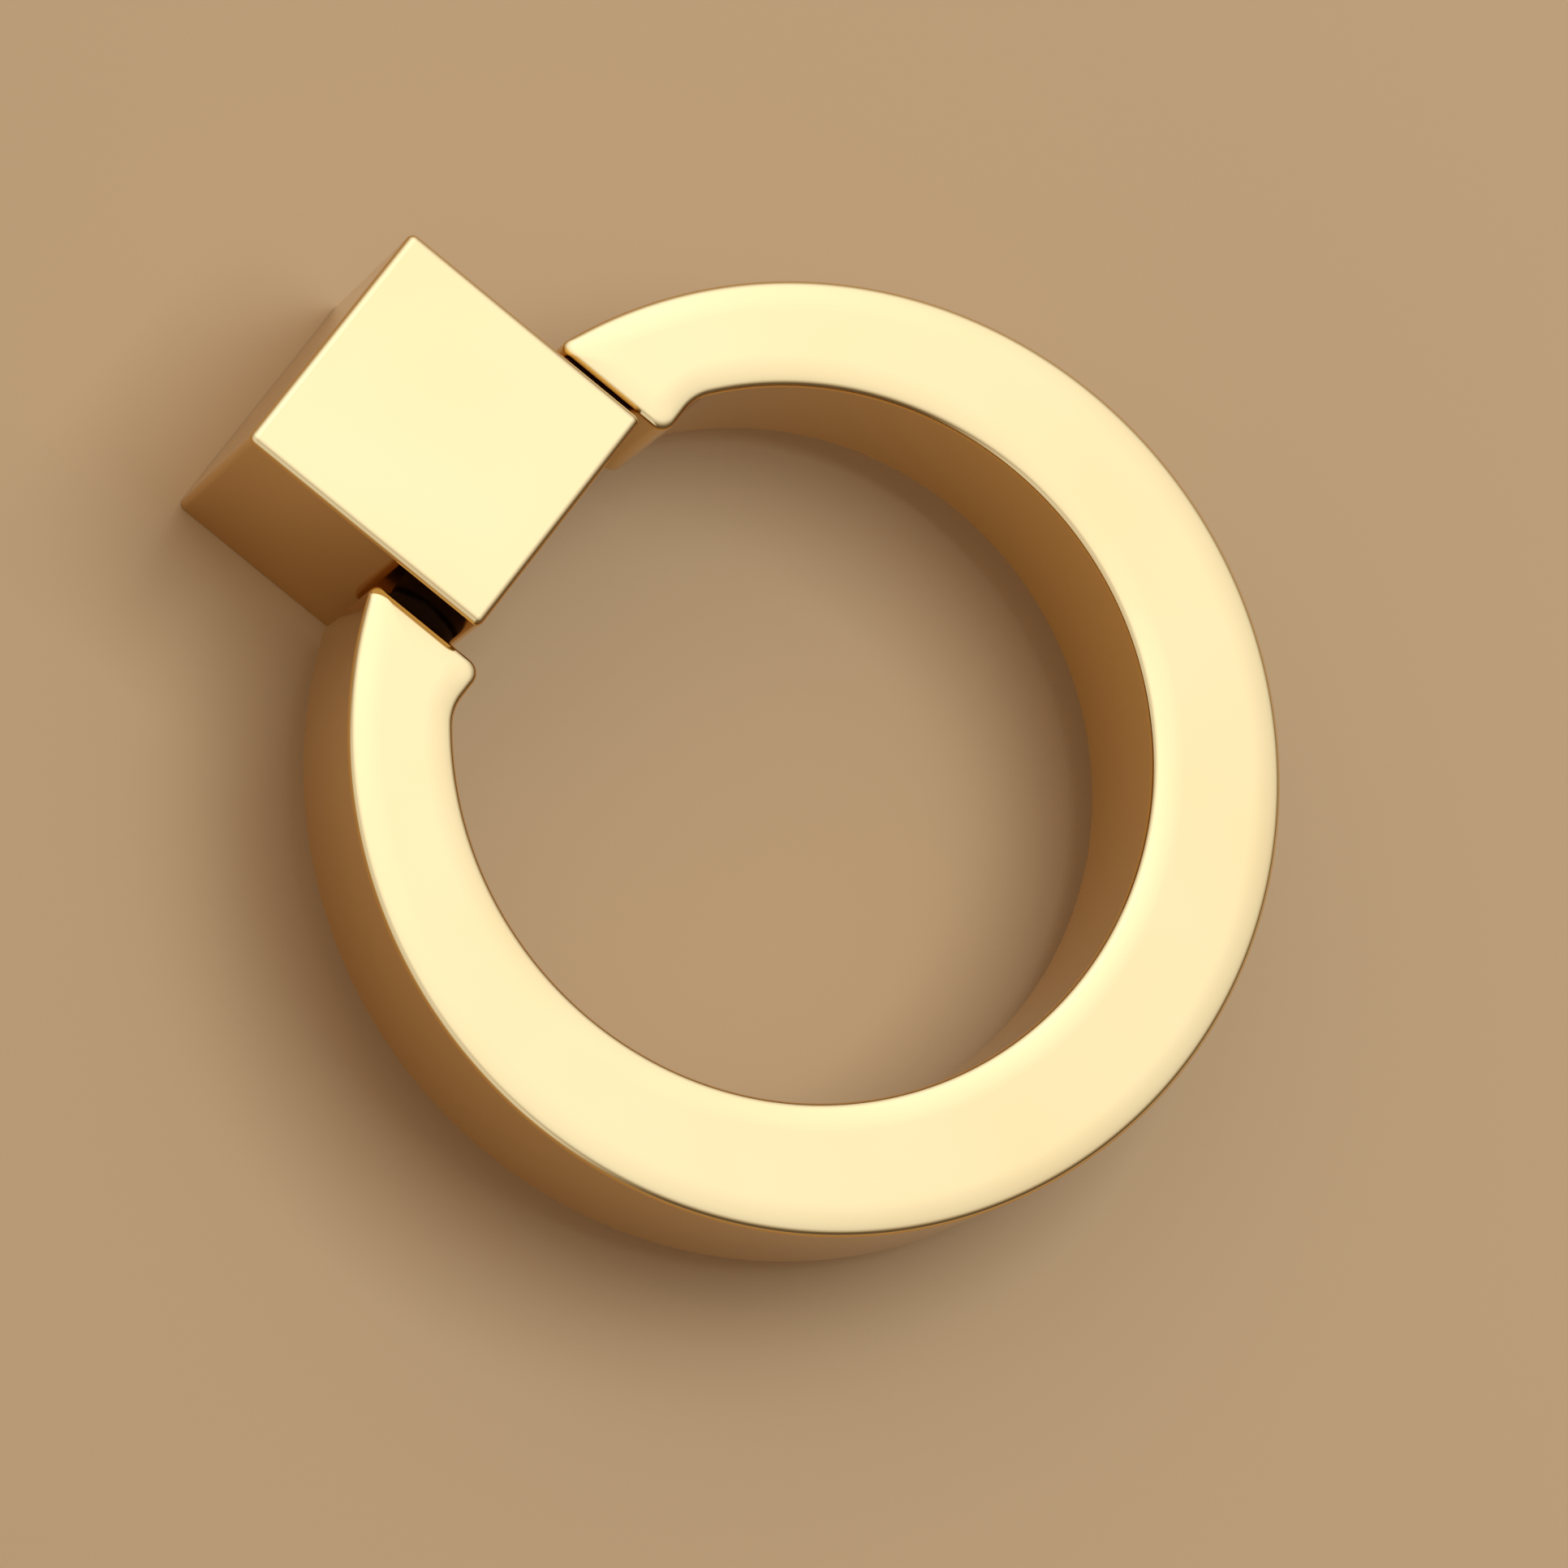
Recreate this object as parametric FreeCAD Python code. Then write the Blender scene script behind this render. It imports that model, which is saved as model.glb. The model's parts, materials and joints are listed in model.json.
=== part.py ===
import FreeCAD, Part
import math
import os

# Ring pull handle for a drawer or cupboard front, in millimetres.
# Origin: centre of the block's back face, which lies on the drawer front in the plane Y = 0.
# +X is right, +Z is up and -Y points away from the drawer front, towards the user.

# Mounting block
BLOCK_WIDTH = 17.2
BLOCK_HEIGHT = 18.4
BLOCK_DEPTH = 20.0
BLOCK_EDGE_RADIUS = 0.5

# Tapped hole for an M4 machine screw, in the block's back
TAP_RADIUS = 1.65
TAP_DEPTH = 9.0
TAP_POINT_DEPTH = 1.0
TAP_COUNTERSINK = 0.4

# Hinge axis, across the block: its distance from the block's back and from its lower end
HINGE_DEPTH = 11.0
HINGE_ABOVE_BLOCK_FOOT = 2.6

# Hinge pin, pressed in the block and running in the ring's lugs
PIN_RADIUS = 1.5
PIN_CHAMFER = 0.3
PIN_REACH = 3.4
PRESS_CLEARANCE = 0.01
RUNNING_CLEARANCE = 0.05
PIN_END_CLEARANCE = 0.3

# Ring: its hole lies a little above its centre, so the band is thicker at the bottom
RING_OUTER_RADIUS = 30.3
RING_HOLE_RADIUS = 22.7
RING_HOLE_RISE = 1.2
RING_THICKNESS = 13.0
RING_ROLL_WIDTH = 2.0
RING_ROLL_DROP = 0.2
RING_EDGE_RADIUS = 0.5

# Lugs at the ring's ends
LUG_GAP = 1.1
LUG_TOP_ABOVE_HINGE = 4.2
LUG_FOOT_BELOW_HINGE = 4.6
LUG_TOP_RADIUS = 0.6
LUG_TOE_RADIUS = 1.0
LUG_FILLET_RADIUS = 3.0

# Spacer washers on the pin, between the block and the lugs
WASHER_OUTER_RADIUS = 2.5
WASHER_PIN_CLEARANCE = 0.1
WASHER_SIDE_PLAY = 0.2

# Places that follow from the sizes
HALF_BLOCK = BLOCK_WIDTH / 2
LUG_FACE = HALF_BLOCK + LUG_GAP
HINGE = FreeCAD.Vector(0, -HINGE_DEPTH, HINGE_ABOVE_BLOCK_FOOT - BLOCK_HEIGHT / 2)
LUG_TOP = HINGE.z + LUG_TOP_ABOVE_HINGE
LUG_DROP = math.sqrt(RING_OUTER_RADIUS**2 - LUG_FACE**2)
RING_CENTRE = FreeCAD.Vector(0, HINGE.y, LUG_TOP - LUG_DROP)
HOLE_CENTRE = RING_CENTRE + FreeCAD.Vector(0, 0, RING_HOLE_RISE)
LUG_FOOT = HINGE.z - LUG_FOOT_BELOW_HINGE

ACROSS = FreeCAD.Vector(1, 0, 0)
TO_BACK = FreeCAD.Vector(0, 1, 0)
TOLERANCE = 1e-4
OVERCUT = 1.0


def cross_cylinder(radius, start, length):
    """Cylinder on the hinge axis, from X = start towards +X."""
    return Part.makeCylinder(radius, length, HINGE + ACROSS * start, ACROSS)


def depth_edges(solid, half_span, height):
    """Edges that run from front to back at X = half_span on either side, at Z = height."""
    found = []
    for edge in solid.Edges:
        first, last = edge.Vertexes[0].Point, edge.Vertexes[-1].Point
        runs_back = abs(first.x - last.x) < TOLERANCE and abs(first.z - last.z) < TOLERANCE
        at_side = abs(abs(first.x) - half_span) < TOLERANCE
        if runs_back and at_side and abs(first.z - height) < TOLERANCE:
            found.append(edge)
    return found


def mounting_block():
    """Square post with round edges, a cross bore for the pin and a tapped hole in its back."""
    corner = FreeCAD.Vector(-HALF_BLOCK, -BLOCK_DEPTH, -BLOCK_HEIGHT / 2)
    block = Part.makeBox(BLOCK_WIDTH, BLOCK_DEPTH, BLOCK_HEIGHT, corner)
    in_front = [edge for edge in block.Edges if edge.BoundBox.YMin < -BLOCK_DEPTH + TOLERANCE]
    block = block.makeFillet(BLOCK_EDGE_RADIUS, in_front)
    bore = cross_cylinder(PIN_RADIUS + PRESS_CLEARANCE, -HALF_BLOCK, BLOCK_WIDTH)
    return block.cut(bore).cut(tapped_hole())


def tapped_hole():
    """Drilled shape of the tapped hole: countersunk mouth, wall and drill point."""
    profile = Part.makePolygon(
        [
            FreeCAD.Vector(0, 0, 0),
            FreeCAD.Vector(TAP_RADIUS + TAP_COUNTERSINK, 0, 0),
            FreeCAD.Vector(TAP_RADIUS, -TAP_COUNTERSINK, 0),
            FreeCAD.Vector(TAP_RADIUS, -TAP_DEPTH, 0),
            FreeCAD.Vector(0, -TAP_DEPTH - TAP_POINT_DEPTH, 0),
            FreeCAD.Vector(0, 0, 0),
        ]
    )
    return Part.Face(profile).revolve(FreeCAD.Vector(0, 0, 0), TO_BACK, 360)


def hinge_pin():
    """Plain pin whose chamfered ends reach into both lugs."""
    half = LUG_FACE + PIN_REACH
    pin = cross_cylinder(PIN_RADIUS, -half, 2 * half)
    rims = [edge for edge in pin.Edges if isinstance(edge.Curve, Part.Circle)]
    return pin.makeChamfer(PIN_CHAMFER, rims)


def spacer_washer(side):
    """Washer that lies on the block's side: -1 is the left one, 1 the right one."""
    thickness = LUG_GAP - WASHER_SIDE_PLAY
    start = HALF_BLOCK if side > 0 else -HALF_BLOCK - thickness
    disc = cross_cylinder(WASHER_OUTER_RADIUS, start, thickness)
    return disc.cut(cross_cylinder(PIN_RADIUS + WASHER_PIN_CLEARANCE, start, thickness))


def rolled_corner(place, polished):
    """Section of the waste above a rolled edge: place gives the point at a distance from the wall
    into the material and a height above the flat face."""
    roll_radius = (RING_ROLL_WIDTH**2 + RING_ROLL_DROP**2) / (2 * RING_ROLL_DROP)
    roll_angle = math.asin((RING_ROLL_WIDTH - RING_EDGE_RADIUS) / (roll_radius - RING_EDGE_RADIUS))

    def on_roll(angle):
        inward = RING_ROLL_WIDTH - roll_radius * math.sin(angle)
        return place(inward, roll_radius * math.cos(angle) - roll_radius)

    # A polished edge is round there, tangent to the roll and the wall, and any other has a chamfer
    wall_top = (roll_radius - RING_EDGE_RADIUS) * math.cos(roll_angle) - roll_radius
    middle = (roll_angle + math.pi / 2) / 2
    edge_middle = place(
        RING_EDGE_RADIUS - RING_EDGE_RADIUS * math.sin(middle),
        wall_top + RING_EDGE_RADIUS * math.cos(middle),
    )
    edge_round = Part.Arc(place(0, wall_top), edge_middle, on_roll(roll_angle))
    chamfer = Part.LineSegment(place(0, wall_top), on_roll(roll_angle))
    curves = [
        Part.LineSegment(place(-OVERCUT, wall_top), place(0, wall_top)),
        edge_round if polished else chamfer,
        Part.Arc(on_roll(roll_angle), on_roll(roll_angle / 2), on_roll(0)),
        Part.LineSegment(on_roll(0), place(RING_ROLL_WIDTH, OVERCUT)),
        Part.LineSegment(place(RING_ROLL_WIDTH, OVERCUT), place(-OVERCUT, OVERCUT)),
        Part.LineSegment(place(-OVERCUT, OVERCUT), place(-OVERCUT, wall_top)),
    ]
    return Part.Face(Part.Wire([curve.toShape() for curve in curves]))


def rolled_edges(front):
    """All the waste that rolls the edges of one face: -1 is the polished front, 1 the back."""
    face = HINGE.y + front * RING_THICKNESS / 2
    polished = front < 0

    def turned(centre, start, angle, radius, inward):
        """Rolled edge along an arc about centre: inward is 1 where the material lies outside it."""
        ray = FreeCAD.Vector(math.cos(start), 0, math.sin(start))

        def place(depth, height):
            spot = centre + ray * (radius + inward * depth)
            return FreeCAD.Vector(spot.x, face + front * height, spot.z)

        return rolled_corner(place, polished).revolve(centre, -TO_BACK, math.degrees(angle))

    foot_centre, foot_bearing = foot_fillet()
    around_hole = math.pi + 2 * foot_bearing
    wastes = [
        turned(RING_CENTRE, 0, 2 * math.pi, RING_OUTER_RADIUS, -1),
        turned(HOLE_CENTRE, math.pi - foot_bearing, around_hole, RING_HOLE_RADIUS, 1),
    ]
    for side in (-1, 1):
        centre = FreeCAD.Vector(side * foot_centre.x, foot_centre.y, foot_centre.z)
        start = foot_bearing if side > 0 else math.pi / 2
        wastes.append(turned(centre, start, math.pi / 2 - foot_bearing, LUG_FILLET_RADIUS, 1))

        def lug_face(depth, height, side=side):
            return FreeCAD.Vector(side * (LUG_FACE + depth), face + front * height, LUG_FOOT - OVERCUT)

        up = FreeCAD.Vector(0, 0, RING_OUTER_RADIUS)
        wastes.append(rolled_corner(lug_face, polished).extrude(up))

    def foot(depth, height):
        return FreeCAD.Vector(-foot_centre.x, face + front * height, LUG_FOOT + depth)

    wastes.append(rolled_corner(foot, polished).extrude(ACROSS * 2 * foot_centre.x))
    return wastes


def foot_fillet():
    """Centre of the right fillet between lug foot and hole, and its bearing from the hole's centre."""
    reach = RING_HOLE_RADIUS - LUG_FILLET_RADIUS
    rise = LUG_FOOT - LUG_FILLET_RADIUS - HOLE_CENTRE.z
    bearing = math.asin(rise / reach)
    return HOLE_CENTRE + FreeCAD.Vector(reach * math.cos(bearing), 0, rise), bearing


def ring_prism():
    """The ring's C with its lugs, carried straight through its thickness."""
    back = HINGE.y + RING_THICKNESS / 2
    centre, bearing = foot_fillet()

    def at(x, z):
        return FreeCAD.Vector(x, back, z)

    def round_hole(angle):
        return at(RING_HOLE_RADIUS * math.cos(angle), HOLE_CENTRE.z + RING_HOLE_RADIUS * math.sin(angle))

    def round_fillet(angle):
        return at(
            centre.x + LUG_FILLET_RADIUS * math.cos(angle),
            centre.z + LUG_FILLET_RADIUS * math.sin(angle),
        )

    def mirrored(point):
        return at(-point.x, point.z)

    shoulder = at(LUG_FACE, LUG_TOP)
    toe = at(LUG_FACE, LUG_FOOT)
    foot_end = at(centre.x, LUG_FOOT)
    bend = round_fillet((bearing + math.pi / 2) / 2)
    hole_end = round_hole(bearing)
    outline = [
        Part.Arc(shoulder, at(0, RING_CENTRE.z - RING_OUTER_RADIUS), mirrored(shoulder)),
        Part.LineSegment(mirrored(shoulder), mirrored(toe)),
        Part.LineSegment(mirrored(toe), mirrored(foot_end)),
        Part.Arc(mirrored(foot_end), mirrored(bend), mirrored(hole_end)),
        Part.Arc(mirrored(hole_end), round_hole(-math.pi / 2), hole_end),
        Part.Arc(hole_end, bend, foot_end),
        Part.LineSegment(foot_end, toe),
        Part.LineSegment(toe, shoulder),
    ]
    face = Part.Face(Part.Wire([curve.toShape() for curve in outline]))
    prism = face.extrude(-TO_BACK * RING_THICKNESS)
    prism = prism.makeFillet(LUG_TOP_RADIUS, depth_edges(prism, LUG_FACE, LUG_TOP))
    return prism.makeFillet(LUG_TOE_RADIUS, depth_edges(prism, LUG_FACE, LUG_FOOT))


def ring():
    """C-shaped ring with rolled edges and a blind pin hole in each lug."""
    body = ring_prism()
    for front in (-1, 1):
        wastes = rolled_edges(front)
        body = body.cut(wastes[0].multiFuse(wastes[1:]))
    hole_depth = PIN_REACH + PIN_END_CLEARANCE
    for start in (-LUG_FACE - hole_depth, LUG_FACE):
        body = body.cut(cross_cylinder(PIN_RADIUS + RUNNING_CLEARANCE, start, hole_depth))
    return body


def main():
    """Writes one file for each piece."""
    pieces = {
        "mounting_block": mounting_block(),
        "ring": ring(),
        "hinge_pin": hinge_pin(),
        "spacer_washer_left": spacer_washer(-1),
        "spacer_washer_right": spacer_washer(1),
    }
    os.makedirs("parts", exist_ok=True)
    for name, shape in pieces.items():
        solids = shape.Solids
        if len(solids) != 1 or not solids[0].isValid():
            raise RuntimeError(name + " is not one sound solid")
        solids[0].exportStep("parts/" + name + ".step")
        print(name, round(solids[0].Volume, 2), "mm3")


main()
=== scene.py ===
import json
import math

import bpy
from bpy.props import FloatProperty, FloatVectorProperty, PointerProperty
from mathutils import Matrix, Vector


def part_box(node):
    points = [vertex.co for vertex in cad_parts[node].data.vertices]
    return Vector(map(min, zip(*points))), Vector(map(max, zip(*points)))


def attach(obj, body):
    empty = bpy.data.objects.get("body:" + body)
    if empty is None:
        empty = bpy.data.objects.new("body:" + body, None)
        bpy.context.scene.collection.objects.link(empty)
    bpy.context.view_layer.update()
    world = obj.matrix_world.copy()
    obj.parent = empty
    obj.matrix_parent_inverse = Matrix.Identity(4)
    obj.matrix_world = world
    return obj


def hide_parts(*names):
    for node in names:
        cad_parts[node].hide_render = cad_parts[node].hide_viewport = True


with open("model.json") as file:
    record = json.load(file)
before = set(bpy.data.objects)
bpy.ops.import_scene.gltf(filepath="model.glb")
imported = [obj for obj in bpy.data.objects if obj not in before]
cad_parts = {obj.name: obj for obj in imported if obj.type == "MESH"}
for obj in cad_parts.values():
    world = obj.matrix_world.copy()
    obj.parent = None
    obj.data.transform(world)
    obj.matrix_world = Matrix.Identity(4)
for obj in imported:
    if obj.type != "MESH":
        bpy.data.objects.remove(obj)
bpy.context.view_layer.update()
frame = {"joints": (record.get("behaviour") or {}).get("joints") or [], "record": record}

bl_info = {
    "name": "Ring Pull Handle",
    "version": (1, 0, 0),
    "blender": (4, 5, 0),
    "location": "View3D > Sidebar > Ring Pull",
    "description": "Finishes for a polished brass ring pull handle, and a plain stage to see it on",
    "category": "Object",
}

SLOT_COLOURS = {m["slot"]: m["base_color"][:3] for m in frame["record"]["materials"]}
BRASS_PIECES = ("mounting_block", "polished_ring")
WASHERS = ("spacer_washer_left", "spacer_washer_right")

MILLIMETRE = 0.001

# How finely the ring is divided, fine enough for a mirror polish
OUTER_STEPS = 160
HOLE_STEPS = 130
FILLET_STEPS = 16
CORNER_STEPS = 10
EDGE_STEPS = 8
FRONT_ROLL_STEPS = 6
BACK_ROLL_STEPS = 4
DRILL_SIDES = 64
SMOOTH_ANGLE = math.radians(35)

# The lugs' corners: what the shoulder's radius gains inwards, and the most of a lug's foot
# that the toe takes
SHOULDER_SOFTENING = 0.3
TOE_SHARE = 0.95

# Waves of each pattern in a metre
DRIFT_WAVES = 55.0
HAZE_WAVES = 320.0
RIPPLE_WAVES = 160.0
HAIRLINE_WAVES = 900.0
GRINDING_WAVES = 9000.0
GRAIN_WAVES = 4000.0
MOTTLE_WAVES = 12.0

# Stretch of the directed patterns: a larger number makes finer lines
HAIRLINE_STRETCH = (1.0, 12.0, 9.0)
GRINDING_STRETCH = (1.0, 0.03, 0.03)

# How far a surface faces front or back: a wall below the first value, which gets the painted
# shade of the walls, and a face above the second, which keeps the full brass colour
WALL_TILT = 0.3
FACE_TILT = 0.85

# The mounting hole: its thread lies this near to its axis, and above this depth
THREAD_REACH = 0.0018
THREAD_BOTTOM = -0.009

# Finish of the small pieces and the board
STEEL_ROUGHNESS = 0.2
STEEL_ROUGHNESS_GAIN = 0.15
STEEL_DARKENING = 0.7
GRINDING_DEPTH = 2.0e-6
NYLON_ROUGHNESS = 0.65
NYLON_ROUGHNESS_GAIN = 0.2
NYLON_LIGHTENING = 1.5
GRAIN_DEPTH = 1.0e-5
BOARD_ROUGHNESS = 0.6
BOARD_DARKENING = 0.97
MATT_SPECULAR = 0.2

# The room: where the light wall is full and where it ends, where the back light starts and is full,
# the tints of dim and bright parts, and the brightness of the plain backdrop
WALL_CORE = math.radians(30)
WALL_END = math.radians(55)
BACK_START = 0.1
BACK_FULL = 0.7
TINT_GAIN = 1.3
DIM_TINT = (1.0, 0.72, 0.42)
BRIGHT_TINT = (1.0, 1.0, 0.99)
WHITE = (1.0, 1.0, 1.0)
BACKDROP_STRENGTH = 0.85

SENSOR_WIDTH = 36.0


# Sizes and colours that a user would change


class BrassSettings(bpy.types.PropertyGroup):
    """Polished brass of the block and the ring"""

    colour: FloatVectorProperty(
        name="Brass",
        description="Colour of the polished brass",
        subtype="COLOR",
        min=0,
        max=1,
        default=SLOT_COLOURS["polished_brass"],
    )
    deep_colour: FloatVectorProperty(
        name="Deeper brass",
        description="Slightly warmer tone that drifts over the metal",
        subtype="COLOR",
        min=0,
        max=1,
        default=(0.93, 0.70, 0.37),
    )
    # Darker, warmer brass on the walls: painted shade that stands in for the darker reflections
    # they show
    wall_shade_colour: FloatVectorProperty(
        name="Wall brass",
        description="Deeper tone of the walls, which are buffed less than the faces",
        subtype="COLOR",
        min=0,
        max=1,
        default=(0.70, 0.445, 0.145),
    )
    roughness: FloatProperty(
        name="Roughness",
        description="Roughness where the polish is at its best",
        subtype="FACTOR",
        min=0,
        max=1,
        default=0.07,
    )
    haze: FloatProperty(
        name="Haze",
        description="Roughness that the polishing haze adds at most",
        subtype="FACTOR",
        min=0,
        max=1,
        default=0.06,
    )
    ripple: FloatProperty(
        name="Ripple",
        description="Height of the faint waves that hand polishing leaves",
        unit="LENGTH",
        default=2.0e-6,
    )
    polish_mark: FloatProperty(
        name="Polish marks",
        description="Depth of the hairline polishing marks",
        unit="LENGTH",
        default=2.0e-7,
    )
    thread_pitch: FloatProperty(
        name="Thread pitch",
        description="Pitch of the thread in the mounting hole",
        unit="LENGTH",
        default=0.0007,
    )
    thread_depth: FloatProperty(
        name="Thread depth",
        description="Depth of the thread in the mounting hole",
        unit="LENGTH",
        default=0.0004,
    )


class RingSettings(bpy.types.PropertyGroup):
    """Sizes of the C-shaped ring"""

    outer_radius: FloatProperty(
        name="Outside radius",
        description="Radius of the ring's outer wall",
        unit="LENGTH",
        default=0.0303,
    )
    hole_radius: FloatProperty(
        name="Hole radius",
        description="Radius of the hole for the fingers",
        unit="LENGTH",
        default=0.0227,
    )
    hole_rise: FloatProperty(
        name="Hole rise",
        description="How far the hole's middle lies above the ring's middle",
        unit="LENGTH",
        default=0.0012,
    )
    roll_width: FloatProperty(
        name="Roll width",
        description="Width of the soft roll along the edges",
        unit="LENGTH",
        default=0.002,
    )
    roll_drop: FloatProperty(
        name="Roll drop",
        description="How far the roll falls below the flat face",
        unit="LENGTH",
        default=0.0002,
    )
    edge_radius: FloatProperty(
        name="Edge radius",
        description="Radius between the roll and the wall",
        unit="LENGTH",
        default=0.0005,
    )
    lug_gap: FloatProperty(
        name="Lug gap",
        description="Gap between the block and each lug",
        unit="LENGTH",
        default=0.0011,
    )
    lug_top: FloatProperty(
        name="Lug top",
        description="Height of the lugs' shoulders above the hinge",
        unit="LENGTH",
        default=0.0042,
    )
    lug_foot: FloatProperty(
        name="Lug foot",
        description="Depth of the lugs' feet below the hinge",
        unit="LENGTH",
        default=0.0046,
    )
    shoulder_radius: FloatProperty(
        name="Shoulder radius",
        description="Radius of the lugs' upper corners",
        unit="LENGTH",
        default=0.0006,
    )
    toe_radius: FloatProperty(
        name="Toe radius",
        description="Radius of the lugs' lower corners",
        unit="LENGTH",
        default=0.001,
    )
    fillet_radius: FloatProperty(
        name="Fillet radius",
        description="Radius between the lugs' feet and the hole",
        unit="LENGTH",
        default=0.003,
    )
    pin_hole_radius: FloatProperty(
        name="Pin hole radius",
        description="Radius of the blind holes for the pin",
        unit="LENGTH",
        default=0.00155,
    )
    pin_hole_depth: FloatProperty(
        name="Pin hole depth",
        description="Depth of the blind holes for the pin",
        unit="LENGTH",
        default=0.0037,
    )


class PivotSettings(bpy.types.PropertyGroup):
    """Hinge pin and the washers on it"""

    steel_colour: FloatVectorProperty(
        name="Pin steel",
        description="Colour of the ground steel pin",
        subtype="COLOR",
        min=0,
        max=1,
        default=SLOT_COLOURS["pin_steel"],
    )
    # The nylon's own near-black, made darker and redder still as painted shade of the gap where the
    # washers sit
    nylon_and_gap_shade_colour: FloatVectorProperty(
        name="Washer nylon",
        description="Colour of the moulded nylon washers",
        subtype="COLOR",
        min=0,
        max=1,
        default=(0.022, 0.012, 0.010),
    )


class StageSettings(bpy.types.PropertyGroup):
    """Pale board behind the handle, soft light and the camera"""

    board_colour: FloatVectorProperty(
        name="Board",
        description="Colour of the plain board that the handle is mounted on",
        subtype="COLOR",
        min=0,
        max=1,
        default=(0.52, 0.365, 0.215),
    )
    board_size: FloatProperty(
        name="Board size",
        description="Side of the board, without the opening behind the block",
        unit="LENGTH",
        default=1.6,
    )
    board_gap: FloatProperty(
        name="Board gap",
        description="Distance of the board behind the block's back face",
        unit="LENGTH",
        default=0.00005,
    )
    board_overlap: FloatProperty(
        name="Board overlap",
        description="How far the board reaches behind the block's edges",
        unit="LENGTH",
        default=0.00018,
    )
    softbox_strength: FloatProperty(
        name="Softbox",
        description="Brightness at the middle of the large soft light that the front faces mirror",
        default=1.62,
    )
    softbox_fall: FloatProperty(
        name="Softbox falloff",
        description="Brightness that is lost for each radian away from the softbox's middle",
        default=0.97,
    )
    room_strength: FloatProperty(
        name="Room light",
        description="Brightness of the room where the softbox doesn't reach",
        default=0.13,
    )
    back_strength: FloatProperty(
        name="Back light",
        description="Brightness of the room behind the board, which shows from the back alone",
        default=0.75,
    )
    bounce_share: FloatProperty(
        name="Bounce share",
        description="Part of the room's light on matt surfaces, where the lamp gives the rest",
        subtype="FACTOR",
        min=0,
        max=1,
        default=0.52,
    )
    bounce_colour: FloatVectorProperty(
        name="Bounce colour",
        description="Warm tint of that light",
        subtype="COLOR",
        min=0,
        max=2,
        default=(1.25, 1.0, 0.78),
    )
    wall_strength: FloatProperty(
        name="Side wall",
        description="Brightness of the light wall on the left",
        default=0.75,
    )
    wall_way: FloatVectorProperty(
        name="Side wall direction",
        description="Direction from the handle to the light wall's middle",
        subtype="DIRECTION",
        default=(-0.85, -0.30, 0.43),
    )
    softbox_way: FloatVectorProperty(
        name="Softbox direction",
        description="Direction from the handle to the softbox's middle",
        subtype="DIRECTION",
        default=(0.321, -0.883, 0.342),
    )
    lamp_power: FloatProperty(
        name="Lamp",
        description="Power of the soft lamp that casts the shadows",
        unit="POWER",
        default=2.0,
    )
    lamp_colour: FloatVectorProperty(
        name="Lamp colour",
        description="Colour of the lamp, cool enough to balance the warm bounce",
        subtype="COLOR",
        min=0,
        max=2,
        default=(0.86, 1.0, 1.1),
    )
    lamp_size: FloatProperty(
        name="Lamp size",
        description="Side of the square lamp",
        unit="LENGTH",
        default=0.34,
    )
    lamp_way: FloatVectorProperty(
        name="Lamp direction",
        description="Direction from the aim to the lamp",
        subtype="DIRECTION",
        default=(0.24, -0.94, -0.09),
    )
    lamp_distance: FloatProperty(
        name="Lamp distance",
        description="Distance of the lamp from the aim",
        unit="LENGTH",
        default=0.6,
    )
    aim: FloatVectorProperty(
        name="Aim",
        description="Point at the middle of the picture",
        subtype="TRANSLATION",
        unit="LENGTH",
        default=(-0.00103, -0.011, -0.03108),
    )
    distance: FloatProperty(
        name="Distance",
        description="Distance of the camera from the aim",
        unit="LENGTH",
        default=0.5574,
    )
    azimuth: FloatProperty(
        name="Azimuth",
        description="How far the camera stands to the left of the handle",
        subtype="ANGLE",
        default=math.radians(18.32),
    )
    elevation: FloatProperty(
        name="Elevation",
        description="How far the camera stands above the handle",
        subtype="ANGLE",
        default=math.radians(6.36),
    )
    roll: FloatProperty(
        name="Roll",
        description="Turn of the camera about its own line of sight",
        subtype="ANGLE",
        default=math.radians(-50.70),
    )
    lens: FloatProperty(
        name="Lens",
        description="Focal length on a sensor 36 mm wide",
        unit="CAMERA",
        default=203.28,
    )


class RingPullSettings(bpy.types.PropertyGroup):
    """All settings of the handle"""

    brass: PointerProperty(type=BrassSettings)
    ring: PointerProperty(type=RingSettings)
    pivot: PointerProperty(type=PivotSettings)
    stage: PointerProperty(type=StageSettings)


# Shader values as Python expressions


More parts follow.
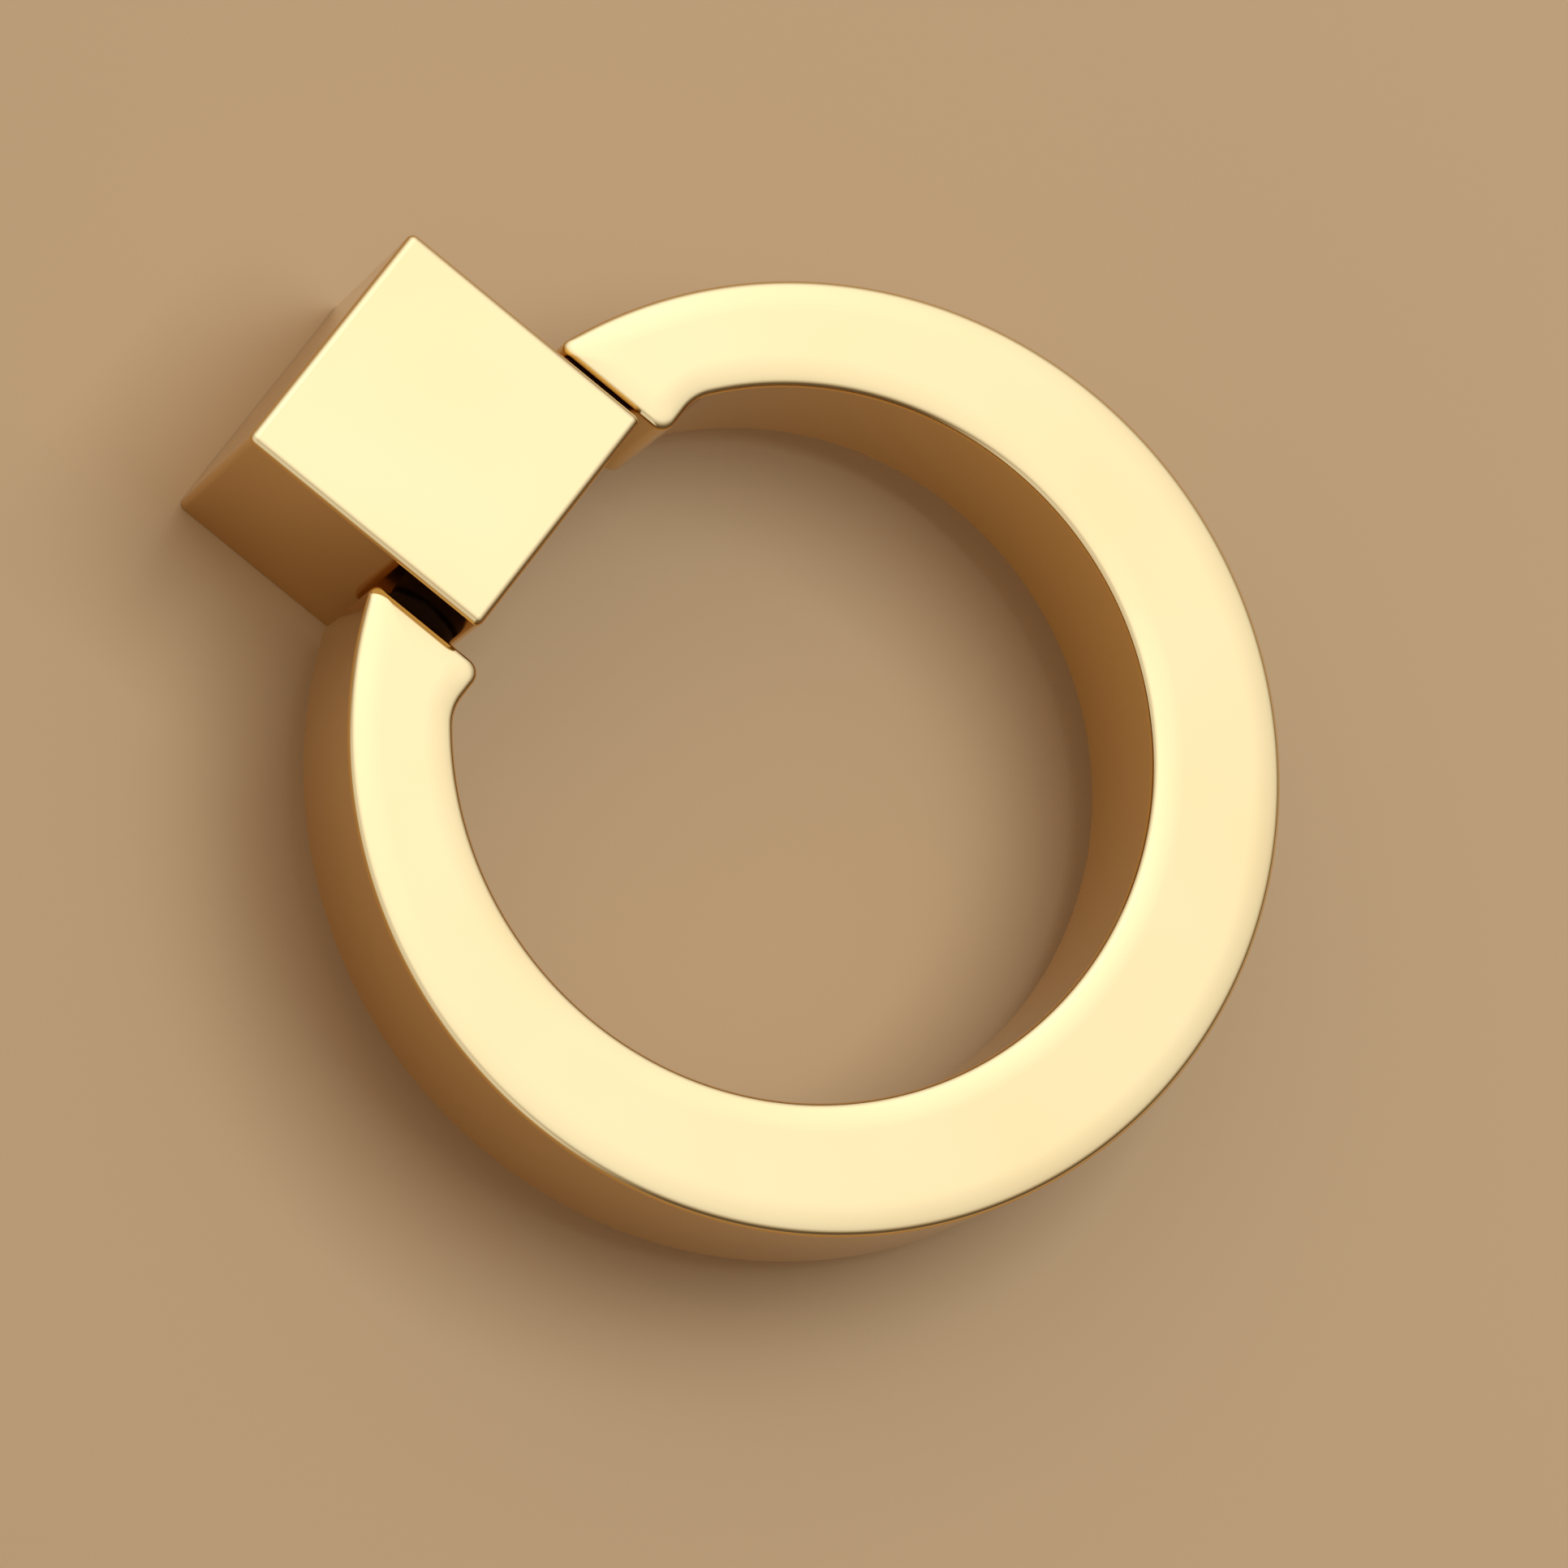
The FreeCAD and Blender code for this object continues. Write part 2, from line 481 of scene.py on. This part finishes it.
class Shade:
    """A shader socket that works in arithmetic: each operation on it adds a Math node."""

    def __init__(self, tree, socket=None):
        self.tree = tree
        self.socket = socket

    def node(self, kind, settings=None, inputs=None, output=0):
        """Adds a node: its settings come first, then the values or links of its sockets."""
        made = self.tree.nodes.new(kind)
        for name, value in (settings or {}).items():
            setattr(made, name, value)
        for name, value in (inputs or {}).items():
            self.feed(made.inputs[name], value)
        return Shade(self.tree, made.outputs[output])

    def feed(self, socket, value):
        """Links a shade to a socket, or sets the socket's own value."""
        if isinstance(value, Shade):
            self.tree.links.new(value.socket, socket)
        else:
            socket.default_value = value

    def maths(self, operation, *operands):
        """Result of a Math node."""
        return self.node("ShaderNodeMath", {"operation": operation}, dict(enumerate(operands)))

    def __add__(self, other):
        return self.maths("ADD", self, other)

    def __radd__(self, other):
        return self.maths("ADD", other, self)

    def __sub__(self, other):
        return self.maths("SUBTRACT", self, other)

    def __rsub__(self, other):
        return self.maths("SUBTRACT", other, self)

    def __mul__(self, other):
        return self.maths("MULTIPLY", self, other)

    def __rmul__(self, other):
        return self.maths("MULTIPLY", other, self)

    def __truediv__(self, other):
        return self.maths("DIVIDE", self, other)

    def __rtruediv__(self, other):
        return self.maths("DIVIDE", other, self)

    def __lt__(self, other):
        return self.maths("LESS_THAN", self, other)

    def __gt__(self, other):
        return self.maths("GREATER_THAN", self, other)


def opaque(colour):
    """A fixed colour with full alpha, as a colour socket takes it, or the shade itself."""
    return colour if isinstance(colour, Shade) else (*colour, 1.0)


def surface_material(name):
    """A new material, the start of its shade expressions and its surface shader."""
    material = bpy.data.materials.new(name)
    material.use_nodes = True
    tree = material.node_tree
    return material, Shade(tree), tree.nodes["Principled BSDF"]


def noise(shade, place, scale, detail=2.0):
    """Soft noise between 0 and 1: scale counts its waves in a metre."""
    inputs = {"Vector": place, "Scale": scale, "Detail": detail}
    return shade.node("ShaderNodeTexNoise", {"noise_dimensions": "3D"}, inputs)


def stretch(shade, place, scale):
    """Place with each axis scaled, so that a pattern runs along the others."""
    inputs = {"Vector": place, "Scale": scale}
    return shade.node("ShaderNodeMapping", {"vector_type": "POINT"}, inputs)


def ease(shade, value, start, end, low, high):
    """Smooth step of a value between start and end, from low to high."""
    inputs = {"Value": value, "From Min": start, "From Max": end, "To Min": low, "To Max": high}
    return shade.node("ShaderNodeMapRange", {"interpolation_type": "SMOOTHSTEP"}, inputs)


def blend_colours(shade, factor, first, second):
    """Mix of two colours, each of them fixed or a shade."""
    inputs = {0: factor, 6: opaque(first), 7: opaque(second)}
    return shade.node("ShaderNodeMix", {"data_type": "RGBA", "blend_type": "MIX"}, inputs, output=2)


def bump(shade, height, distance):
    """Surface tilt of a height that counts in units of the distance."""
    return shade.node("ShaderNodeBump", None, {"Height": height, "Distance": distance})


def dress(nodes, material):
    """Gives the material to nodes of the frame, or to new pieces."""
    for name in nodes:
        slots = bpy.data.objects[name].data.materials
        slots.clear()
        slots.append(material)


# Ring


def arc(centre, radius, start, end, steps):
    """Points along an arc in the plane of the ring, both ends included."""
    angles = [start + (end - start) * step / steps for step in range(steps + 1)]
    return [(centre[0] + radius * math.cos(a), centre[1] + radius * math.sin(a)) for a in angles]


def ring_outline(sizes, inward):
    """The ring's C at a distance inside its wall.

    It runs from the bottom round the right lug, and comes back on the left.
    """
    hinge = Vector(frame["joints"][0]["pos_m"])
    half_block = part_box("mounting_block")[1].x
    lug_face = half_block + sizes.lug_gap
    foot = hinge.z - sizes.lug_foot
    middle = hinge.z + sizes.lug_top - math.sqrt(sizes.outer_radius**2 - lug_face**2)
    hole_middle = middle + sizes.hole_rise
    reach = sizes.hole_radius - sizes.fillet_radius
    rise = foot - sizes.fillet_radius - hole_middle
    bearing = math.asin(rise / reach)
    fillet = (reach * math.cos(bearing), foot - sizes.fillet_radius)

    # The corners of the lugs are softer towards the flat face
    face = lug_face + inward
    outer = sizes.outer_radius - inward
    shoulder = sizes.shoulder_radius + SHOULDER_SOFTENING * inward
    toe = min(sizes.toe_radius, TOE_SHARE * (fillet[0] - face))
    shoulder_x = face + shoulder
    shoulder_z = middle + math.sqrt((outer - shoulder) ** 2 - shoulder_x**2)
    shoulder_bearing = math.atan2(shoulder_z - middle, shoulder_x)

    down = -math.pi / 2
    right = [
        *arc((0, middle), outer, down, shoulder_bearing, OUTER_STEPS)[:-1],
        *arc((shoulder_x, shoulder_z), shoulder, shoulder_bearing, math.pi, CORNER_STEPS),
        *arc((face + toe, foot + inward + toe), toe, math.pi, 1.5 * math.pi, CORNER_STEPS),
        *arc(fillet, sizes.fillet_radius + inward, math.pi / 2, bearing, FILLET_STEPS)[:-1],
        *arc((0, hole_middle), sizes.hole_radius + inward, bearing, down, HOLE_STEPS),
    ]
    left = [(-x, z) for x, z in reversed(right[1:-1])]
    return right + left


def ring_section(sizes):
    """Rows across the ring's edge, flat front to flat back: distance inside the wall, and depth."""
    low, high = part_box("ring")
    roll = (sizes.roll_width**2 + sizes.roll_drop**2) / (2 * sizes.roll_drop)
    end = math.asin((sizes.roll_width - sizes.edge_radius) / (roll - sizes.edge_radius))
    wall_top = (roll - sizes.edge_radius) * math.cos(end) - roll

    def rolled(steps):
        """Rows down the roll, from the flat face to the edge."""
        angles = [end * step / steps for step in range(steps + 1)]
        return [(sizes.roll_width - roll * math.sin(a), roll * math.cos(a) - roll) for a in angles]

    edge_middle = (sizes.edge_radius, wall_top)
    rounded = arc(edge_middle, sizes.edge_radius, math.pi / 2 + end, math.pi, EDGE_STEPS)
    front = rolled(FRONT_ROLL_STEPS)[:-1] + rounded
    back = [(0, wall_top)] + rolled(BACK_ROLL_STEPS)[::-1]
    rows = [(inward, low.y - height) for inward, height in front]
    return rows + [(inward, high.y + height) for inward, height in back]


def choose(piece):
    """Makes the piece the only one that operators act on."""
    bpy.ops.object.select_all(action="DESELECT")
    piece.select_set(True)
    bpy.context.view_layer.objects.active = piece


def drill(piece, radius, start, end):
    """Cuts a round hole along X between two points."""
    bpy.ops.object.select_all(action="DESELECT")
    bpy.ops.mesh.primitive_cylinder_add(
        vertices=DRILL_SIDES,
        radius=radius,
        depth=(end - start).length,
        location=(start + end) / 2,
        rotation=(0, math.pi / 2, 0),
    )
    cutter = bpy.context.object
    choose(piece)
    hole = piece.modifiers.new("hole", "BOOLEAN")
    hole.operation = "DIFFERENCE"
    hole.solver = "EXACT"
    hole.object = cutter
    bpy.ops.object.modifier_apply(modifier=hole.name)
    bpy.data.objects.remove(cutter)


def model_ring(sizes):
    """Ring with finely divided edges, over which a mirror polish runs without a break."""
    rows = [
        [(x, y, z) for x, z in ring_outline(sizes, inward)] for inward, y in ring_section(sizes)
    ]
    count = len(rows[0])
    faces = [range(count), range((len(rows) - 1) * count, len(rows) * count)]
    for row in range(len(rows) - 1):
        for here in range(count):
            after = (here + 1) % count
            corners = ((row, here), (row, after), (row + 1, after), (row + 1, here))
            faces.append([r * count + c for r, c in corners])
    mesh = bpy.data.meshes.new("polished_ring")
    mesh.from_pydata([point for row in rows for point in row], [], faces)
    ring = bpy.data.objects.new("polished_ring", mesh)
    bpy.context.scene.collection.objects.link(ring)
    choose(ring)
    bpy.ops.object.mode_set(mode="EDIT")
    bpy.ops.mesh.select_all(action="SELECT")
    bpy.ops.mesh.normals_make_consistent(inside=False)
    bpy.ops.object.mode_set(mode="OBJECT")

    hinge = Vector(frame["joints"][0]["pos_m"])
    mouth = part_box("mounting_block")[1].x
    bottom = mouth + sizes.lug_gap + sizes.pin_hole_depth
    for side in (-1, 1):
        start, end = (Vector((side * x, hinge.y, hinge.z)) for x in (mouth, bottom))
        drill(ring, sizes.pin_hole_radius, start, end)
    choose(ring)
    bpy.ops.object.shade_smooth_by_angle(angle=SMOOTH_ANGLE)
    flats = ring.modifiers.new("true_flats", "WEIGHTED_NORMAL")
    flats.keep_sharp = True
    bpy.ops.object.modifier_apply(modifier=flats.name)
    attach(ring, "ring")
    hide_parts("ring")


class RING_PULL_OT_model_ring(bpy.types.Operator):
    """Model the ring with its rolled edges and lugs"""

    bl_idname = "ring_pull.model_ring"
    bl_label = "Model the Ring"

    def execute(self, context):
        model_ring(context.scene.ring_pull.ring)
        return {"FINISHED"}


# Finishes


def polished_brass(settings):
    """Mirror polish with drifting tone, haze, ripple, hairlines, the hole's thread and painted
    shade on walls.
    """
    material, shade, surface = surface_material("polished_brass")
    place = shade.node("ShaderNodeTexCoord", output="Object")
    drift = noise(shade, place, DRIFT_WAVES)
    haze = noise(shade, place, HAZE_WAVES, detail=4.0)
    ripple = noise(shade, place, RIPPLE_WAVES, detail=1.0)
    hairlines = noise(shade, stretch(shade, place, HAIRLINE_STRETCH), HAIRLINE_WAVES, detail=3.0)

    axes = shade.node("ShaderNodeSeparateXYZ", None, {"Vector": place})
    x, y, z = (Shade(shade.tree, axes.socket.node.outputs[axis]) for axis in "XYZ")
    from_axis = shade.maths("SQRT", x * x + z * z)
    in_hole = (from_axis < THREAD_REACH) * (y > THREAD_BOTTOM)
    turn = shade.maths("ARCTAN2", z, x) / math.tau
    thread = shade.maths("PINGPONG", turn + y / settings.thread_pitch, 0.5) * in_hole

    relief = ripple * settings.ripple + hairlines * settings.polish_mark
    relief = relief + thread * (2 * settings.thread_depth)

    # Walls that face sideways get the darker brass, as painted shade; faces that look front or back
    # keep the full colour
    facing = shade.node("ShaderNodeTexCoord", output="Normal")
    tilt = shade.node("ShaderNodeSeparateXYZ", None, {"Vector": facing}, output="Y")
    painted_bright = ease(shade, shade.maths("ABSOLUTE", tilt), WALL_TILT, FACE_TILT, 0.0, 1.0)
    colour = blend_colours(shade, drift, settings.colour, settings.deep_colour)
    colour = blend_colours(shade, painted_bright, settings.wall_shade_colour, colour)
    shade.feed(surface.inputs["Base Color"], colour)
    shade.feed(surface.inputs["Roughness"], settings.roughness + haze * settings.haze)
    shade.feed(surface.inputs["Normal"], bump(shade, relief * (1 / MILLIMETRE), MILLIMETRE))
    surface.inputs["Metallic"].default_value = 1.0
    return material


def ground_steel(settings):
    """Steel with the fine rings that grinding leaves round the pin."""
    material, shade, surface = surface_material("ground_steel")
    place = shade.node("ShaderNodeTexCoord", output="Object")
    rings = noise(shade, stretch(shade, place, GRINDING_STRETCH), GRINDING_WAVES, detail=3.0)
    darker = [STEEL_DARKENING * value for value in settings.steel_colour]
    colour = blend_colours(shade, rings, darker, settings.steel_colour)
    shade.feed(surface.inputs["Base Color"], colour)
    shade.feed(surface.inputs["Roughness"], STEEL_ROUGHNESS + rings * STEEL_ROUGHNESS_GAIN)
    shade.feed(surface.inputs["Normal"], bump(shade, rings, GRINDING_DEPTH))
    surface.inputs["Metallic"].default_value = 1.0
    return material


def moulded_nylon(settings):
    """Dark nylon with a fine moulded grain, in a colour darkened further as painted shade of the
    gap.
    """
    material, shade, surface = surface_material("moulded_nylon")
    place = shade.node("ShaderNodeTexCoord", output="Object")
    grain = noise(shade, place, GRAIN_WAVES, detail=4.0)
    lighter = [NYLON_LIGHTENING * value for value in settings.nylon_and_gap_shade_colour]
    colour = blend_colours(shade, grain, settings.nylon_and_gap_shade_colour, lighter)
    shade.feed(surface.inputs["Base Color"], colour)
    shade.feed(surface.inputs["Roughness"], NYLON_ROUGHNESS + grain * NYLON_ROUGHNESS_GAIN)
    surface.inputs["Specular IOR Level"].default_value = MATT_SPECULAR
    shade.feed(surface.inputs["Normal"], bump(shade, grain, GRAIN_DEPTH))
    return material


class RING_PULL_OT_polish_brass(bpy.types.Operator):
    """Polish the block and the ring"""

    bl_idname = "ring_pull.polish_brass"
    bl_label = "Polish the Brass"

    def execute(self, context):
        dress(BRASS_PIECES, polished_brass(context.scene.ring_pull.brass))
        return {"FINISHED"}


class RING_PULL_OT_grind_pin(bpy.types.Operator):
    """Give the hinge pin its ground steel"""

    bl_idname = "ring_pull.grind_pin"
    bl_label = "Grind the Pin"

    def execute(self, context):
        dress(["hinge_pin"], ground_steel(context.scene.ring_pull.pivot))
        return {"FINISHED"}


class RING_PULL_OT_mould_washers(bpy.types.Operator):
    """Give both spacer washers their nylon"""

    bl_idname = "ring_pull.mould_washers"
    bl_label = "Mould the Washers"

    def execute(self, context):
        dress(WASHERS, moulded_nylon(context.scene.ring_pull.pivot))
        return {"FINISHED"}


# Stage


def board_material(settings):
    """Plain pale board that shows from its front, and is clear to all that is seen through it."""
    material, shade, surface = surface_material("plain_board")
    place = shade.node("ShaderNodeTexCoord", output="Object")
    mottle = noise(shade, place, MOTTLE_WAVES)
    darker = [BOARD_DARKENING * value for value in settings.board_colour]
    colour = blend_colours(shade, mottle, darker, settings.board_colour)
    shade.feed(surface.inputs["Base Color"], colour)
    surface.inputs["Roughness"].default_value = BOARD_ROUGHNESS
    surface.inputs["Specular IOR Level"].default_value = MATT_SPECULAR
    from_back = shade.node("ShaderNodeNewGeometry", output="Backfacing")
    passed = shade.node("ShaderNodeLightPath", output="Transparent Depth")
    behind = shade.maths("MAXIMUM", from_back, passed > 0)
    clear = shade.node("ShaderNodeBsdfTransparent")
    solid = Shade(shade.tree, surface.outputs["BSDF"])
    seen = shade.node("ShaderNodeMixShader", None, {0: behind, 1: solid, 2: clear})
    shade.feed(shade.tree.nodes["Material Output"].inputs["Surface"], seen)
    return material


def make_board(settings):
    """Board in the plane of the block's back, with an opening behind the block."""
    low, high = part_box("mounting_block")
    middle = (low + high) / 2
    block = high - low
    bpy.ops.object.select_all(action="DESELECT")
    bpy.ops.mesh.primitive_plane_add(
        size=1,
        location=(middle.x, high.y + settings.board_gap, middle.z),
        rotation=(math.pi / 2, 0, 0),
    )
    board = bpy.context.object
    board.name = "board"
    board.scale = (settings.board_size + block.x, settings.board_size + block.z, 1)
    bpy.ops.object.transform_apply(location=True, rotation=True, scale=True)
    bpy.ops.object.mode_set(mode="EDIT")
    bpy.ops.mesh.select_all(action="SELECT")
    bpy.ops.mesh.inset(thickness=settings.board_size / 2 + settings.board_overlap)
    bpy.ops.mesh.delete(type="FACE")
    bpy.ops.object.mode_set(mode="OBJECT")
    board.data.materials.append(board_material(settings))


def light_room(settings):
    """Softbox in front that fades into a dim room, a light wall on the left and a pale backdrop."""
    world = bpy.data.worlds.new("soft_room")
    bpy.context.scene.world = world
    world.use_nodes = True
    shade = Shade(world.node_tree)
    background = world.node_tree.nodes["Background"]
    way = shade.node("ShaderNodeTexCoord", output="Generated")

    def facing(direction):
        """Cosine of the angle to a direction."""
        towards = Vector(direction).normalized()
        product = {"operation": "DOT_PRODUCT"}
        return shade.node("ShaderNodeVectorMath", product, {0: way, 1: towards}, output="Value")

    away = shade.maths("ARCCOSINE", facing(settings.softbox_way))
    softbox = settings.softbox_strength - settings.softbox_fall * away
    on_wall = ease(
        shade,
        facing(settings.wall_way),
        math.cos(WALL_END),
        math.cos(WALL_CORE),
        settings.room_strength,
        settings.wall_strength,
    )
    behind = ease(shade, facing((0, 1, 0)), BACK_START, BACK_FULL, 0.0, settings.back_strength)
    glow = shade.maths("MAXIMUM", shade.maths("MAXIMUM", softbox, on_wall), behind)
    seen = shade.node("ShaderNodeLightPath", output="Is Camera Ray")
    matt = shade.node("ShaderNodeLightPath", output="Is Diffuse Ray")
    lit = shade.maths("MINIMUM", glow * TINT_GAIN, 1.0)
    tint = blend_colours(shade, lit, DIM_TINT, BRIGHT_TINT)
    tint = blend_colours(shade, matt, tint, settings.bounce_colour)
    share = 1 - matt * (1 - settings.bounce_share)
    shade.feed(background.inputs["Color"], blend_colours(shade, seen, tint, WHITE))
    shade.feed(background.inputs["Strength"], seen * BACKDROP_STRENGTH + (1 - seen) * glow * share)


def make_lamp(settings):
    """Square soft lamp that shines on the aim, and isn't mirrored itself."""
    aim = Vector(settings.aim)
    place = aim + settings.lamp_distance * Vector(settings.lamp_way).normalized()
    data = bpy.data.lights.new("soft_lamp", "AREA")
    data.shape = "SQUARE"
    data.size = settings.lamp_size
    data.energy = settings.lamp_power
    data.color = settings.lamp_colour
    lamp = bpy.data.objects.new("soft_lamp", data)
    bpy.context.scene.collection.objects.link(lamp)
    lamp.location = place
    lamp.rotation_euler = (aim - place).to_track_quat("-Z", "Y").to_euler()
    lamp.visible_camera = False
    lamp.visible_glossy = False


def make_camera(settings):
    """Camera at its distance, turned about the aim and then about its own line of sight."""
    data = bpy.data.cameras.new("camera")
    data.lens = settings.lens
    data.sensor_width = SENSOR_WIDTH
    camera = bpy.data.objects.new("camera", data)
    bpy.context.scene.collection.objects.link(camera)
    turn = (
        Matrix.Rotation(-settings.azimuth, 4, "Z")
        @ Matrix.Rotation(math.pi / 2 - settings.elevation, 4, "X")
        @ Matrix.Rotation(settings.roll, 4, "Z")
    )
    back = turn.to_3x3() @ Vector((0, 0, settings.distance))
    camera.matrix_world = Matrix.Translation(Vector(settings.aim) + back) @ turn
    bpy.context.scene.camera = camera


class RING_PULL_OT_set_stage(bpy.types.Operator):
    """Put up the board, the light and the camera"""

    bl_idname = "ring_pull.set_stage"
    bl_label = "Set the Stage"

    def execute(self, context):
        settings = context.scene.ring_pull.stage
        context.scene.view_settings.view_transform = "Standard"
        make_board(settings)
        light_room(settings)
        make_lamp(settings)
        make_camera(settings)
        return {"FINISHED"}


class RING_PULL_PT_sidebar(bpy.types.Panel):
    """Steps that finish the handle"""

    bl_idname = "RING_PULL_PT_sidebar"
    bl_label = "Ring Pull Handle"
    bl_space_type = "VIEW_3D"
    bl_region_type = "UI"
    bl_category = "Ring Pull"

    def draw(self, context):
        settings = context.scene.ring_pull
        for group in (settings.brass, settings.ring, settings.pivot, settings.stage):
            box = self.layout.box()
            for name in group.__annotations__:
                box.prop(group, name)
        for step in STEPS:
            self.layout.operator(step.bl_idname)


STEPS = (
    RING_PULL_OT_model_ring,
    RING_PULL_OT_polish_brass,
    RING_PULL_OT_grind_pin,
    RING_PULL_OT_mould_washers,
    RING_PULL_OT_set_stage,
)
CLASSES = (
    BrassSettings,
    RingSettings,
    PivotSettings,
    StageSettings,
    RingPullSettings,
    *STEPS,
    RING_PULL_PT_sidebar,
)


def register():
    for item in CLASSES:
        bpy.utils.register_class(item)
    bpy.types.Scene.ring_pull = PointerProperty(type=RingPullSettings)


def unregister():
    del bpy.types.Scene.ring_pull
    for item in reversed(CLASSES):
        bpy.utils.unregister_class(item)


def main():
    register()
    bpy.ops.ring_pull.model_ring()
    bpy.ops.ring_pull.polish_brass()
    bpy.ops.ring_pull.grind_pin()
    bpy.ops.ring_pull.mould_washers()
    bpy.ops.ring_pull.set_stage()


if __name__ == "__main__":
    main()
